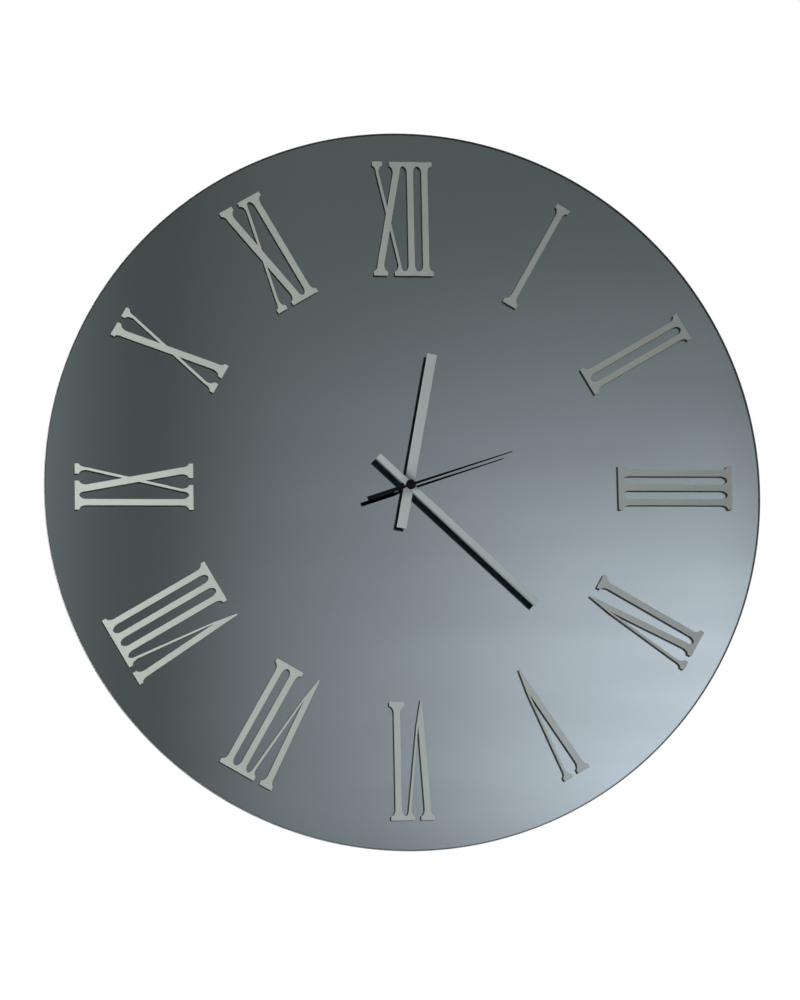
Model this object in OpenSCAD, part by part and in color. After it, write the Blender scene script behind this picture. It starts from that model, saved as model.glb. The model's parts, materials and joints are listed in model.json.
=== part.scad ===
// Round frameless mirror clock with raised Roman numerals and a geared quartz movement behind the glass.
// Drawn face up: x to the right, y towards twelve, z from the wall towards the viewer, then hung upright.

/* [Mirror] */
// Diameter of the mirror disc
mirror_d = 600; // [560:10:700]
// Thickness of the glass
glass_t = 4; // [3:0.5:6]
// Ground arris on both edges of the glass
arris = 0.5; // [0.3:0.1:1]

/* [Numerals] */
// Height of a numeral
numeral_h = 97; // [84:1:104]
// Bare glass between a numeral's head and the rim
numeral_margin = 25; // [20:0.5:34]
// Thickness of the numeral sheet
numeral_t = 2; // [1:0.5:4]

/* [Hands] */
// Hour hand, axis to tip
hour_reach = 113; // [90:1:125]
// Hour hand width
hour_w = 8.3; // [8:0.1:11]
// Minute hand, axis to tip
minute_reach = 144; // [125:1:165]
// Minute hand width
minute_w = 5.4; // [5.3:0.1:8]
// Tail of both bar hands, axis to end
bar_tail = 35.5; // [24:0.5:45]
// Sheet thickness of the bar hands
bar_t = 1.2; // [0.8:0.1:1.6]
// Second hand, axis to tip
second_reach = 90; // [70:1:110]
// Tail of the second hand, axis to end
second_tail = 38; // [28:1:50]
// Width of the second hand's tail
second_tail_w = 3.3; // [2.4:0.1:4.4]
// Diameter of the black cap over the axis
cap_d = 8.3; // [7.4:0.1:11]
// Gap from the glass to the hour hand
hour_gap = 5.6; // [4.6:0.1:7]
// Gap from the hour hand to the minute hand
minute_gap = 5.1; // [4.4:0.1:7]
// Gap from the minute hand to the second hand
second_gap = 3.1; // [2.6:0.1:5]

/* [Time shown] */
// Hours
show_hour = 12; // [1:1:12]
// Minutes
show_minute = 22; // [0:1:59]
// Seconds
show_second = 12; // [0:1:59]

/* [Back] */
// Diameter of the backing board
board_d = 460; // [420:10:500]
// Thickness of the backing board
board_t = 16; // [16:1:22]
// Thickness of the wall bumpers
bumper_t = 4; // [4:0.5:7]
// Thickness of the foam tape behind the mirror
tape_t = 1; // [0.8:0.1:2]
// Radius of the keyhole's round mouth
keyhole_r = 4.5; // [4.2:0.1:5.5]
// Width of the keyhole's slot
keyhole_slot = 4.8; // [4.4:0.1:5]

/* [Movement] */
// Side of the square movement case
case_w = 56; // [52:0.5:60]
// Depth of the movement case
case_depth = 16.4; // [16.4:0.1:17]
// Thickness of the gear wheels
wheel_t = 0.8; // [0.6:0.1:1]
// Radial running clearance of the arbors
run_gap = 0.05; // [0.03:0.01:0.08]

/* [Hidden] */
$fn = 96;
eps = 0.01;

// Plan sizes of the movement and its arbors are multiples of this part of the case's side
unit = case_w / 56;

// Stack of layers from the wall to the viewer
glass_back = bumper_t + board_t + tape_t;
glass_front = glass_back + glass_t;
pad_t = 0.8;
case_front = glass_back - pad_t;
case_back = case_front - case_depth;
hour_z = glass_front + hour_gap;
minute_z = hour_z + bar_t + minute_gap;
second_z = minute_z + bar_t + second_gap;

// Hanger and frame: the origin is the keyhole's mouth on the rear face of the hanger plate
plate_t = 1.5;
plate_back = bumper_t - plate_t;
hanger_inset = 50;
hanger_y = board_d / 2 - hanger_inset;

// Hands
minute_angle = 6 * (show_minute + show_second / 60);
hour_angle = 30 * (show_hour % 12) + minute_angle / 12;
second_angle = 6 * show_second;
seat_gap = 0.02;
hour_tube_r = 2.55 * unit;
minute_tube_r = 1.75 * unit;
arbor_r = 0.5 * unit;
tube_proud = 0.1;
hour_collet_wall = 1.15;
hour_collet_r = hour_tube_r + hour_collet_wall;
hour_collet_h = 2.2;
minute_collet_wall = 0.85;
minute_collet_r = minute_tube_r + minute_collet_wall;
minute_collet_h = 3;
second_t = 0.6;
second_root_w = 2.2;
second_tip_w = 0.8;
second_neck = 9;
second_shoulder = 5.5;
second_hub_r = 3.2;
cap_stem_wall = 0.7;
cap_stem_r = arbor_r + cap_stem_wall;
cap_stem_h = 2.6;
cap_h = 1.5;
cap_bevel = 0.4;
cap_roof = 0.5;
cap_r = cap_d / 2;

// Numeral drawing, as shares of the numeral height
u = numeral_h;
ring_r = mirror_d / 2 - numeral_margin - u / 2;
stem_w = 0.053 * u;
thin_w = 0.0225 * u;
serif_lap = 0.0375 * u;
slab_h = 0.037 * u;
bracket_h = 0.06 * u;
bracket_step = 15;
stem_pitch = 0.126 * u;
i_half = stem_w / 2 + serif_lap;
v_thick_w = 0.0561 * u;
v_thick_x = -0.065 * u;
v_thin_x = 0.104 * u;
v_tip_x = -0.0177 * u;
v_tip_w = 0.009 * u;
v_tip_drop = 0.016 * u;
v_bend_x = 0.026 * u;
v_bend_y = 0.2 * u;
v_notch_x = 0.0118 * u;
v_notch_y = 0.205 * u;
v_lap = 0.03 * u;
v_half = 0.138 * u;
v_to_i = 0.1913 * u;
i_to_v = 0.176 * u;
x_thick_w = 0.057 * u;
x_thick = 0.0917 * u;
x_thin = 0.1125 * u;
x_lap = 0.0325 * u;
x_half = 0.14 * u;
x_to_i = 0.1945 * u;

// Backing board
board_r = board_d / 2;
board_chamfer = 2;
cutout_gap = 2;
cutout_w = case_w + 2 * cutout_gap;
cutout_r = 6;
bumper_r = 10;
bumper_inset = 32;
bumper_ring = board_r - bumper_inset;
strip_w = 24;
strip_inner = 60;
strip_inset = 25;
strip_outer = board_r - strip_inset;
strip_count = 8;
plate_w = 24;
plate_h = 62;
plate_r = 5;
slot_rise = 13;
plate_rise = 4;
plate_mid = hanger_y + plate_rise;
pocket_w = 16;
pocket_h = 38;
pocket_r = 6;
pocket_deep = 9;
hanger_screw_y = 25;
screw_r = 1.6;
screw_gap = 0.05;
screw_len = 11;
screw_head_r = 3.2;
screw_head_h = 1.8;
screw_slot_w = 0.9;
screw_slot_deep = 0.8;

// Movement case
wall = 1.2 * unit;
face_wall = 1.5;
case_corner = 4 * unit;
bush_r = 3.5 * unit;
bush_recess = 0.2;
glass_hole_r = 4 * unit;
pad_w = 50 * unit;
pad_hole_r = 6 * unit;
inner_half = case_w / 2 - wall;
bay_w = 16.1 * unit;
bay_top = -case_w / 2 + bay_w;
bay_wall = unit;
chamber_low = bay_top + bay_wall;
cover_t = 1.6;
cover_gap = 0.1;
cover_seat = case_back + cover_t;
face_in = case_front - face_wall;
corner_post_r = 1.6 * unit;
boss_r = 1.5 * unit;
slim_boss_r = 1.1 * unit;
boss_deep = 1;
cover_boss_h = 3.4;
cover_boss_top = cover_seat + cover_boss_h;

// Gear train: modules and tooth counts
pressure_angle = 20;
tooth_share = 0.42;
tip_height = 0.9;
root_depth = 1.2;
rotor_teeth = 12;
intermediate_teeth = 60;
intermediate_leaves = 12;
seconds_teeth = 72;
seconds_leaves = 10;
third_teeth = 80;
third_leaves = 10;
centre_teeth = 75;
cannon_leaves = 14;
motion_teeth = 42;
motion_leaves = 12;
hour_teeth = 48;
knob_leaves = 14;
rotor_module = 0.2 * unit;
seconds_module = 0.28 * unit;
third_module = 0.25 * unit;
centre_module = third_module * (third_teeth + seconds_leaves) / (centre_teeth + third_leaves);
motion_module = 0.3 * unit;
hour_module = motion_module * (cannon_leaves + motion_teeth) / (motion_leaves + hour_teeth);

// Gear positions from the hand axis
third_dir = 150;
intermediate_dir = 40;
rotor_dir = 65;
motion_dir = -10;
knob_dir = -5;
third_at = polar(third_module * (third_teeth + seconds_leaves) / 2, third_dir);
intermediate_at = polar(seconds_module * (seconds_teeth + intermediate_leaves) / 2, intermediate_dir);
rotor_at = intermediate_at + polar(rotor_module * (rotor_teeth + intermediate_teeth) / 2, rotor_dir);
motion_at = polar(motion_module * (cannon_leaves + motion_teeth) / 2, motion_dir);
knob_at = motion_at + polar(motion_module * (motion_teeth + knob_leaves) / 2, knob_dir);

// Gear phases, so that every pair is in mesh
third_leaf_turn = mesh_turn(0, centre_teeth, third_leaves, third_dir);
seconds_leaf_turn = mesh_turn(0, third_teeth, seconds_leaves, third_dir + 180);
intermediate_leaf_turn = mesh_turn(0, seconds_teeth, intermediate_leaves, intermediate_dir);
rotor_leaf_turn = mesh_turn(0, intermediate_teeth, rotor_teeth, rotor_dir);
motion_turn = mesh_turn(0, cannon_leaves, motion_teeth, motion_dir);
hour_turn = mesh_turn(0, motion_leaves, hour_teeth, motion_dir + 180);
knob_turn = mesh_turn(motion_turn, motion_teeth, knob_leaves, knob_dir);

// Gear layers, from the rear wheel to the hour wheel
layer_pitch = 1.6;
layer_play = 0.6;
layer_top = face_in - layer_play;
end_play = 0.2;
intermediate_z = layer_z(5);
seconds_z = layer_z(4);
third_z = layer_z(3);
centre_z = layer_z(2);
motion_z = layer_z(1);
hour_wheel_z = layer_z(0);
leaf_over = 0.3;
cannon_flange_r = 2.4 * unit;
cannon_flange_t = 0.2;
cannon_flange_z = third_z + wheel_t + leaf_over + end_play;
cannon_leaf_z = centre_z + wheel_t + end_play / 2;
cannon_top = hour_wheel_z - 2 * end_play;
hour_collar_r = 3.2 * unit;
motion_post_r = 0.8 * unit;
knob_shaft_r = unit;
knob_r = 6 * unit;
knob_h = 2.5;
knob_gap = 0.4;
knob_flutes = 20;
knob_flute_r = 0.6 * unit;

// Stepping motor
stator_t = 0.8;
stator_rise = 1.1;
stator_z = intermediate_z + wheel_t + stator_rise;
stator_low = 12.6 * unit;
stator_bar = 3 * unit;
stator_leg = 3.5 * unit;
stator_left = 1.5 * unit;
stator_right = 23 * unit;
stator_high = 24.4 * unit;
stator_ring_r = 4.2 * unit;
stator_bore_r = 2.7 * unit;
stator_pin_y = 17.4 * unit;
stator_pin_r = 0.6 * unit;
stator_post_r = 1.4 * unit;
magnet_r = 2.2 * unit;
magnet_h = 1.8;
magnet_z = stator_z + stator_t / 2 - magnet_h / 2;
core_w = 2.4 * unit;
core_t = 1.2;
core_y = 22 * unit;
core_z = stator_z + stator_t;
coil_margin = 0.5 * unit;
coil_left = stator_left + stator_leg + coil_margin;
coil_right = stator_right - stator_leg - coil_margin;
coil_r = 3.2 * unit;
bobbin_r = 3.6 * unit;
bobbin_t = 0.8 * unit;
bobbin_tube_r = 1.9 * unit;
bobbin_gap = 0.05;
winding_gap = 0.05;

// Circuit and battery
circuit_left = -21.8 * unit;
circuit_right = -5.8 * unit;
circuit_low = 17.4 * unit;
circuit_high = 25.6 * unit;
circuit_t = 1;
circuit_z = stator_z;
circuit_pin_r = 0.5 * unit;
circuit_post_r = 1.2 * unit;
circuit_pin_in = 1.8 * unit;
chip_r = 2.1 * unit;
chip_h = 0.9;
crystal_r = unit;
crystal_len = 6.2 * unit;
cell_play = 0.15;
cell_r = min(7.15 * unit, (case_depth - face_wall) / 2 - 2 * cell_play);
cell_len = 49.2 * unit;
nub_r = 2.75 * unit;
nub_h = 1.3 * unit;
cell_y = (bay_top - inner_half) / 2;
cell_z = case_back + cell_r + cell_play;
contact_t = 0.4 * unit;
contact_w = 9 * unit;
contact_h = 10;
contact_bump_r = 2.2 * unit;
contact_gap = 0.1;

// A point at a radius and angle
function polar(r, a) = [r * cos(a), r * sin(a)];

// Rear face of a wheel, counted down from the hour wheel
function layer_z(i) = layer_top - wheel_t - i * layer_pitch;

// Turn of the second gear that puts its space over the first gear's tooth
function mesh_turn(turn, teeth, other_teeth, dir) =
    dir + 180 - (180 - (dir - turn) * teeth) / other_teeth;

// Involute angle in degrees
function involute(a) = tan(a) * 180 / PI - a;

// Half the angle that a tooth fills at radius q
function tooth_half(m, z, q) =
    180 * tooth_share / z + involute(pressure_angle)
    - involute(acos(min(1, m * z / 2 * cos(pressure_angle) / q)));

// Radii of the root, pitch and tip circles
function gear_radii(m, z) = [m * z / 2 - root_depth * m, m * z / 2, m * z / 2 + tip_height * m];

// Outline of a spur gear
function gear_outline(m, z, turn) =
    let (r = gear_radii(m, z))
    [for (i = [0 : z - 1]) let (c = turn + 360 * i / z) each concat(
        [for (q = r) polar(q, c - tooth_half(m, z, q))],
        [for (k = [2 : -1 : 0]) polar(r[k], c + tooth_half(m, z, r[k]))]
    )];

// Bracket of a serif on the head of a stroke, between the slab's end and the edge of the stroke
function bracket(slab_x, edge_x, angles) =
    [for (t = angles) [slab_x + (edge_x - slab_x) * sin(t), u - slab_h - bracket_h * (1 - cos(t))]];

// Left and right sides of a serif, where the stroke's edge ends at x and leans across per unit down.
// The slab reaches lap beyond the edge at the foot of the bracket
function serif_left(x, lean, lap) =
    let (edge_x = x + lean * (slab_h + bracket_h))
    concat(bracket(edge_x - lap, edge_x, [90 : -bracket_step : 0]), [[edge_x - lap, u]]);
function serif_right(x, lean, lap) =
    let (edge_x = x + lean * (slab_h + bracket_h))
    concat([[edge_x + lap, u]], bracket(edge_x + lap, edge_x, [0 : bracket_step : 90]));

// The same points turned half a turn about the middle of the numeral
function half_turned(points) = [for (p = points) [-p[0], u - p[1]]];

// Turns the clock upright and brings the keyhole to the origin
module hung() {
    translate([0, plate_back, -hanger_y])
        rotate([90, 0, 0])
            children();
}

module at(p, z = 0) {
    translate([p[0], p[1], z])
        children();
}

module disc(r, z, h) {
    translate([0, 0, z])
        cylinder(r = r, h = h);
}

module block(x0, x1, y0, y1, z0, z1) {
    translate([x0, y0, z0])
        cube([x1 - x0, y1 - y0, z1 - z0]);
}

module sheet(z, h) {
    translate([0, 0, z])
        linear_extrude(height = h)
            children();
}

module rounded_square(w, h, r) {
    square([w - 2 * r, h], center = true);
    square([w, h - 2 * r], center = true);
    for (sx = [-1, 1], sy = [-1, 1])
        translate([sx * (w / 2 - r), sy * (h / 2 - r)])
            circle(r = r);
}

module gear(m, z, turn, z0, h) {
    sheet(z0, h)
        polygon(gear_outline(m, z, turn));
}

// Stroke from the foot at xb to the head at xt, with a serif at each end
module stroke(xb, xt, w, lap) {
    lean = (xb - xt) / u;
    polygon(concat(
        serif_left(xt - w / 2, lean, lap),
        serif_right(xt + w / 2, lean, lap),
        half_turned(serif_left(-xb - w / 2, lean, lap)),
        half_turned(serif_right(-xb + w / 2, lean, lap))
    ));
}

module letter_i(x) {
    stroke(x, x, stem_w, serif_lap);
}

module letter_v() {
    outer_l = v_thick_x - v_thick_w / 2;
    inner_l = v_thick_x + v_thick_w / 2;
    inner_r = v_thin_x - thin_w / 2;
    outer_r = v_thin_x + thin_w / 2;
    notch_drop = u - v_notch_y;
    polygon(concat(
        serif_left(outer_l, (v_tip_x - outer_l) / u, v_lap),
        serif_right(inner_l, (v_notch_x - inner_l) / notch_drop, v_lap),
        [[v_notch_x, v_notch_y]],
        serif_left(inner_r, (v_notch_x - inner_r) / notch_drop, v_lap),
        serif_right(outer_r, (v_bend_x - outer_r) / (u - v_bend_y), v_lap),
        [[v_bend_x, v_bend_y], [v_tip_x + v_tip_w / 2, -v_tip_drop], [v_tip_x - v_tip_w / 2, -v_tip_drop]]
    ));
}

// side 1 has the thick stroke falling to the right, side -1 is its mirror image
module letter_x(side) {
    stroke(side * x_thick, -side * x_thick, x_thick_w, x_lap);
    stroke(-side * x_thin, side * x_thin, thin_w, x_lap);
}

// A numeral at its hour, set out about the middle of lo and hi in its drawing
module numeral(hour, lo, hi) {
    rotate([0, 0, -30 * hour])
        translate([-(lo + hi) / 2, ring_r - u / 2, glass_front])
            linear_extrude(height = numeral_t)
                children();
}

module numeral_paint() {
    color([0.7, 0.73, 0.7])
        hung()
            children();
}

module mirror_glass() {
    r = mirror_d / 2;
    color([0.36, 0.39, 0.4])
        hung()
            rotate_extrude($fn = 360)
                polygon([
                    [glass_hole_r, glass_back],
                    [r - arris, glass_back],
                    [r, glass_back + arris],
                    [r, glass_front - arris],
                    [r - arris, glass_front],
                    [glass_hole_r, glass_front]
                ]);
}

module numeral_i() {
    numeral_paint()
        numeral(1, -i_half, i_half)
            letter_i(0);
}

module numeral_ii() {
    numeral_paint()
        numeral(2, -i_half, stem_pitch + i_half) {
            letter_i(0);
            letter_i(stem_pitch);
        }
}

module numeral_iii() {
    numeral_paint()
        numeral(3, -i_half, 2 * stem_pitch + i_half) {
            letter_i(0);
            letter_i(stem_pitch);
            letter_i(2 * stem_pitch);
        }
}

module numeral_iv() {
    numeral_paint()
        numeral(4, -i_to_v - i_half, v_half) {
            letter_i(-i_to_v);
            letter_v();
        }
}

module numeral_v() {
    numeral_paint()
        numeral(5, -v_half, v_half)
            letter_v();
}

module numeral_vi() {
    numeral_paint()
        numeral(6, -v_half, v_to_i + i_half) {
            letter_v();
            letter_i(v_to_i);
        }
}

module numeral_vii() {
    numeral_paint()
        numeral(7, -v_half, v_to_i + stem_pitch + i_half) {
            letter_v();
            letter_i(v_to_i);
            letter_i(v_to_i + stem_pitch);
        }
}

module numeral_viii() {
    numeral_paint()
        numeral(8, -v_half, v_to_i + 2 * stem_pitch + i_half) {
            letter_v();
            letter_i(v_to_i);
            letter_i(v_to_i + stem_pitch);
            letter_i(v_to_i + 2 * stem_pitch);
        }
}

module numeral_ix() {
    numeral_paint()
        numeral(9, -x_to_i - i_half, x_half) {
            letter_i(-x_to_i);
            letter_x(1);
        }
}

module numeral_x() {
    numeral_paint()
        numeral(10, -x_half, x_half)
            letter_x(1);
}

module numeral_xi() {
    numeral_paint()
        numeral(11, -x_half, x_to_i + i_half) {
            letter_x(1);
            letter_i(x_to_i);
        }
}

// The cross of the twelve is set the other way round, as on the clock
module numeral_xii() {
    numeral_paint()
        numeral(12, -x_half, x_to_i + stem_pitch + i_half) {
            letter_x(-1);
            letter_i(x_to_i);
            letter_i(x_to_i + stem_pitch);
        }
}

module bar_hand(angle, z, reach, w, hole_r) {
    hung()
        rotate([0, 0, -angle])
            difference() {
                block(-w / 2, w / 2, -bar_tail, reach, z, z + bar_t);
                disc(hole_r, z - eps, bar_t + 2 * eps);
            }
}

module collet(r, hole_r, z, h) {
    hung()
        difference() {
            disc(r, z - h, h);
            disc(hole_r, z - h - eps, h + 2 * eps);
        }
}

module hour_hand() {
    color([0.66, 0.69, 0.67])
        bar_hand(hour_angle, hour_z, hour_reach, hour_w, hour_tube_r + seat_gap);
}

module hour_collet() {
    color([0.2, 0.2, 0.2])
        collet(hour_collet_r, hour_tube_r + seat_gap, hour_z, hour_collet_h);
}

module minute_hand() {
    color([0.66, 0.69, 0.67])
        bar_hand(minute_angle, minute_z, minute_reach, minute_w, minute_tube_r + seat_gap);
}

module minute_collet() {
    color([0.2, 0.2, 0.2])
        collet(minute_collet_r, minute_tube_r + seat_gap, minute_z, minute_collet_h);
}

module second_hand() {
    color([0.05, 0.05, 0.05])
        hung()
            rotate([0, 0, -second_angle])
                difference() {
                    sheet(second_z, second_t) {
                        polygon([
                            [-second_root_w / 2, 0],
                            [second_root_w / 2, 0],
                            [second_tip_w / 2, second_reach],
                            [-second_tip_w / 2, second_reach]
                        ]);
                        polygon([
                            [-second_root_w / 2, 0],
                            [-second_root_w / 2, -second_shoulder],
                            [-second_tail_w / 2, -second_neck],
                            [-second_tail_w / 2, -second_tail],
                            [second_tail_w / 2, -second_tail],
                            [second_tail_w / 2, -second_neck],
                            [second_root_w / 2, -second_shoulder],
                            [second_root_w / 2, 0]
                        ]);
                        circle(r = second_hub_r);
                    }
                    disc(cap_stem_r + seat_gap, second_z - eps, second_t + 2 * eps);
                }
}

module second_cap() {
    head_z = second_z + second_t;
    color([0.03, 0.03, 0.03])
        hung()
            difference() {
                union() {
                    disc(cap_stem_r, second_z - cap_stem_h, cap_stem_h + second_t + eps);
                    disc(cap_r, head_z, cap_h - cap_bevel);
                    translate([0, 0, head_z + cap_h - cap_bevel])
                        cylinder(r1 = cap_r, r2 = cap_r - cap_bevel, h = cap_bevel);
                }
                disc(arbor_r + seat_gap, second_z - cap_stem_h - eps, cap_stem_h + second_t + cap_h - cap_roof);
            }
}

module backing_board() {
    front = bumper_t + board_t;
    color([0.52, 0.4, 0.28])
        hung()
            difference() {
                rotate_extrude($fn = 360)
                    polygon([
                        [0, bumper_t],
                        [board_r - board_chamfer, bumper_t],
                        [board_r, bumper_t + board_chamfer],
                        [board_r, front],
                        [0, front]
                    ]);
                sheet(bumper_t - 1, board_t + 2)
                    rounded_square(cutout_w, cutout_w, cutout_r);
                at([0, plate_mid])
                    sheet(bumper_t - 1, pocket_deep + 1)
                        rounded_square(pocket_w, pocket_h, pocket_r);
                for (s = [-1, 1])
                    at([0, plate_mid + s * hanger_screw_y])
                        disc(screw_r + screw_gap, bumper_t - 1, screw_len + 1);
            }
}

module mirror_tape() {
    color([0.85, 0.85, 0.8])
        hung()
            for (i = [0 : strip_count - 1])
                rotate([0, 0, (i + 0.5) * 360 / strip_count])
                    block(strip_inner, strip_outer, -strip_w / 2, strip_w / 2, bumper_t + board_t, glass_back);
}

module wall_bumpers() {
    color([0.1, 0.1, 0.1])
        hung()
            for (i = [0 : 3])
                rotate([0, 0, 45 + 90 * i])
                    translate([bumper_ring, 0, 0])
                        cylinder(r = bumper_r, h = bumper_t);
}

module hanger_plate() {
    color([0.75, 0.75, 0.77])
        hung()
            difference() {
                at([0, plate_mid])
                    sheet(plate_back, plate_t)
                        rounded_square(plate_w, plate_h, plate_r);
                at([0, hanger_y])
                    disc(keyhole_r, plate_back - 1, plate_t + 2);
                at([0, hanger_y + slot_rise])
                    disc(keyhole_slot / 2, plate_back - 1, plate_t + 2);
                block(-keyhole_slot / 2, keyhole_slot / 2, hanger_y, hanger_y + slot_rise, plate_back - 1, bumper_t + 1);
                for (s = [-1, 1])
                    at([0, plate_mid + s * hanger_screw_y])
                        disc(screw_r + screw_gap, plate_back - 1, plate_t + 2);
            }
}

module hanger_screws() {
    color([0.7, 0.66, 0.5])
        hung()
            for (s = [-1, 1])
                at([0, plate_mid + s * hanger_screw_y])
                    difference() {
                        union() {
                            disc(screw_r, plate_back - eps, screw_len);
                            disc(screw_head_r, plate_back - screw_head_h, screw_head_h);
                        }
                        block(
                            -screw_head_r - 1, screw_head_r + 1,
                            -screw_slot_w / 2, screw_slot_w / 2,
                            plate_back - screw_head_h - 1, plate_back - screw_head_h + screw_slot_deep
                        );
                    }
}

module movement_pad() {
    color([0.9, 0.9, 0.88])
        hung()
            difference() {
                sheet(case_front, pad_t)
                    rounded_square(pad_w, pad_w, case_corner);
                disc(pad_hole_r, case_front - 1, pad_t + 2);
            }
}

// Pillar from the case's face towards the rear, with a blind pivot hole in its end
module pivot_boss(p, r, end_z, hole_r) {
    at(p)
        difference() {
            disc(r, end_z, face_in - end_z + eps);
            disc(hole_r, end_z - eps, boss_deep + eps);
        }
}

// Pillar with a thinner pin on its end
module pin_post(p, r, end_z, pin_r, pin_len) {
    at(p) {
        disc(r, end_z, face_in - end_z + eps);
        disc(pin_r, end_z - pin_len, pin_len + eps);
    }
}

module movement_case() {
    pivot_r = arbor_r + run_gap;
    color([0.12, 0.12, 0.13])
        hung() {
            difference() {
                union() {
                    sheet(case_back, case_depth)
                        rounded_square(case_w, case_w, case_corner);
                    disc(bush_r, case_front - eps, glass_front - bush_recess - case_front + eps);
                }
                block(-inner_half, inner_half, chamber_low, inner_half, case_back - 1, face_in);
                block(-inner_half, inner_half, -inner_half, bay_top, case_back - 1, face_in);
                disc(hour_tube_r + run_gap, face_in - 1, glass_front);
            }
            for (sx = [-1, 1])
                for (y = [chamber_low + corner_post_r, inner_half - corner_post_r])
                    at([sx * (inner_half - corner_post_r), y])
                        disc(corner_post_r, cover_seat, face_in - cover_seat + eps);
            pivot_boss(rotor_at, boss_r, magnet_z + magnet_h + end_play, pivot_r);
            pivot_boss(intermediate_at, slim_boss_r, seconds_z + wheel_t + leaf_over + end_play, pivot_r);
            pivot_boss(third_at, boss_r, centre_z + wheel_t + leaf_over + end_play, pivot_r);
            pivot_boss(knob_at, boss_r, motion_z + wheel_t + leaf_over + end_play, pivot_r);
            at(motion_at)
                disc(motion_post_r, motion_z - leaf_over, face_in - motion_z + leaf_over + eps);
            for (x = [stator_left + stator_leg / 2, stator_right - stator_leg / 2])
                pin_post([x, stator_pin_y], stator_post_r, core_z, stator_pin_r, stator_t + leaf_over);
            for (x = [circuit_left + circuit_pin_in, circuit_right - circuit_pin_in])
                pin_post(
                    [x, circuit_low + circuit_pin_in], circuit_post_r,
                    circuit_z + circuit_t, circuit_pin_r, circuit_t + leaf_over
                );
        }
}

module movement_cover() {
    pivot_r = arbor_r + run_gap;
    half = inner_half - cover_gap;
    low = chamber_low + cover_gap;
    color([0.16, 0.16, 0.17])
        hung()
            difference() {
                union() {
                    block(-half, half, low, half, case_back, cover_seat);
                    for (p = [[0, 0], third_at, intermediate_at, rotor_at])
                        at(p)
                            disc(boss_r, cover_seat - eps, cover_boss_top - cover_seat + eps);
                }
                for (p = [[0, 0], third_at, intermediate_at, rotor_at])
                    at(p)
                        disc(pivot_r, cover_boss_top - boss_deep, boss_deep + 1);
                at(knob_at)
                    disc(knob_shaft_r + run_gap, case_back - 1, cover_t + 2);
            }
}

module battery_cell() {
    x0 = -(cell_len + nub_h) / 2;
    color([0.3, 0.3, 0.32])
        hung()
            translate([x0, cell_y, cell_z])
                rotate([0, 90, 0]) {
                    cylinder(r = cell_r, h = cell_len);
                    disc(nub_r, cell_len - eps, nub_h + eps);
                }
}

// Contact plate against the end wall, with a round bump that bears on the cell
module contact(side) {
    wall_x = inner_half - contact_gap;
    cell_x = (cell_len + nub_h) / 2 + contact_gap;
    hung()
        mirror([side < 0 ? 1 : 0, 0, 0]) {
            block(
                wall_x - contact_t, wall_x,
                cell_y - contact_w / 2, cell_y + contact_w / 2,
                cell_z - contact_h / 2, cell_z + contact_h / 2
            );
            translate([cell_x, cell_y, cell_z])
                rotate([0, 90, 0])
                    cylinder(r = contact_bump_r, h = wall_x - contact_t - cell_x + eps);
        }
}

module contact_plus() {
    color([0.8, 0.78, 0.7])
        contact(1);
}

module contact_minus() {
    color([0.8, 0.78, 0.7])
        contact(-1);
}

module circuit_board() {
    color([0.1, 0.3, 0.18])
        hung()
            difference() {
                block(circuit_left, circuit_right, circuit_low, circuit_high, circuit_z, circuit_z + circuit_t);
                for (x = [circuit_left + circuit_pin_in, circuit_right - circuit_pin_in])
                    at([x, circuit_low + circuit_pin_in])
                        disc(circuit_pin_r + run_gap, circuit_z - 1, circuit_t + 2);
            }
}

module clock_chip() {
    color([0.04, 0.04, 0.04])
        hung()
            at([(circuit_left + circuit_right) / 2 + chip_r, (circuit_low + circuit_high) / 2])
                disc(chip_r, circuit_z - chip_h, chip_h);
}

module quartz_crystal() {
    color([0.78, 0.79, 0.8])
        hung()
            translate([circuit_left + circuit_pin_in, circuit_high - circuit_pin_in, circuit_z - crystal_r - contact_gap])
                rotate([0, 90, 0])
                    cylinder(r = crystal_r, h = crystal_len);
}

module stator() {
    color([0.6, 0.6, 0.62])
        hung()
            difference() {
                sheet(stator_z, stator_t) {
                    translate([stator_left, stator_low])
                        square([stator_right - stator_left, stator_bar]);
                    for (x = [stator_left, stator_right - stator_leg])
                        translate([x, stator_low])
                            square([stator_leg, stator_high - stator_low]);
                    translate(rotor_at)
                        circle(r = stator_ring_r);
                }
                at(rotor_at)
                    disc(stator_bore_r, stator_z - 1, stator_t + 2);
                for (x = [stator_left + stator_leg / 2, stator_right - stator_leg / 2])
                    at([x, stator_pin_y])
                        disc(stator_pin_r + run_gap, stator_z - 1, stator_t + 2);
            }
}

module coil_core() {
    color([0.55, 0.55, 0.57])
        hung()
            block(stator_left, stator_right, core_y - core_w / 2, core_y + core_w / 2, core_z, core_z + core_t);
}

module along_coil(r, x0, x1) {
    translate([x0, core_y, core_z + core_t / 2])
        rotate([0, 90, 0])
            cylinder(r = r, h = x1 - x0);
}

module coil_bobbin() {
    color([0.85, 0.82, 0.7])
        hung()
            difference() {
                union() {
                    along_coil(bobbin_tube_r, coil_left, coil_right);
                    along_coil(bobbin_r, coil_left, coil_left + bobbin_t);
                    along_coil(bobbin_r, coil_right - bobbin_t, coil_right);
                }
                block(
                    coil_left - 1, coil_right + 1,
                    core_y - core_w / 2 - bobbin_gap, core_y + core_w / 2 + bobbin_gap,
                    core_z - bobbin_gap, core_z + core_t + bobbin_gap
                );
            }
}

module coil_winding() {
    color([0.72, 0.4, 0.2])
        hung()
            difference() {
                along_coil(coil_r, coil_left + bobbin_t + winding_gap, coil_right - bobbin_t - winding_gap);
                along_coil(bobbin_tube_r + winding_gap, coil_left, coil_right);
            }
}

module arbor(z0, z1) {
    disc(arbor_r, z0, z1 - z0);
}

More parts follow.
